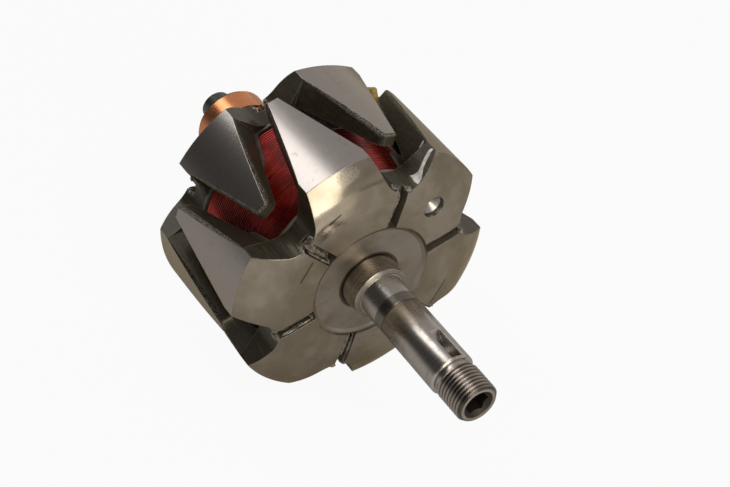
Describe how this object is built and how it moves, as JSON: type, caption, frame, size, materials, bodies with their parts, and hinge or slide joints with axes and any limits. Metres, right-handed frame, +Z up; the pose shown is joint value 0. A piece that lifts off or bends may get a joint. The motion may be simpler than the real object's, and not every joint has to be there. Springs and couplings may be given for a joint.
{
  "type": "alternator rotor",
  "caption": "Claw pole alternator rotor: forged steel claws round a field winding on a keyed and threaded shaft, with slip rings at the rear.",
  "frame": {"origin": "on the shaft's axis, in the plane of the shoulder that the drive end bearing is pushed against", "axes": "+X along the shaft towards the drive end, +Z up as the rotor lies on its claws"},
  "size_m": [0.1795, 0.104, 0.104],
  "materials": {
    "shaft_steel": "ground",
    "spacer_steel": "turned and stained",
    "pole_steel": "forged, turned on the outside diameter",
    "core_steel": "forged",
    "insulation": "varnished sheet",
    "winding_wire": "enamelled copper",
    "sleeve": "varnished cloth sleeve",
    "hub_moulding": "moulded",
    "ring_copper": "polished copper"
  },
  "bodies": {
    "root": {"shaft": "shaft_steel", "bearing_spacer": "spacer_steel", "front_claw_pole": "pole_steel", "rear_claw_pole": "pole_steel", "pole_core": "core_steel", "bobbin_tube": "insulation", "front_insulator": "insulation", "rear_insulator": "insulation", "field_winding": "winding_wire", "start_lead": "winding_wire", "finish_lead": "winding_wire", "start_lead_sleeve": "sleeve", "finish_lead_sleeve": "sleeve", "slip_ring_hub": "hub_moulding", "inner_slip_ring": "ring_copper", "outer_slip_ring": "ring_copper", "start_terminal": "ring_copper", "finish_terminal": "ring_copper"}
  },
  "joints": []
}
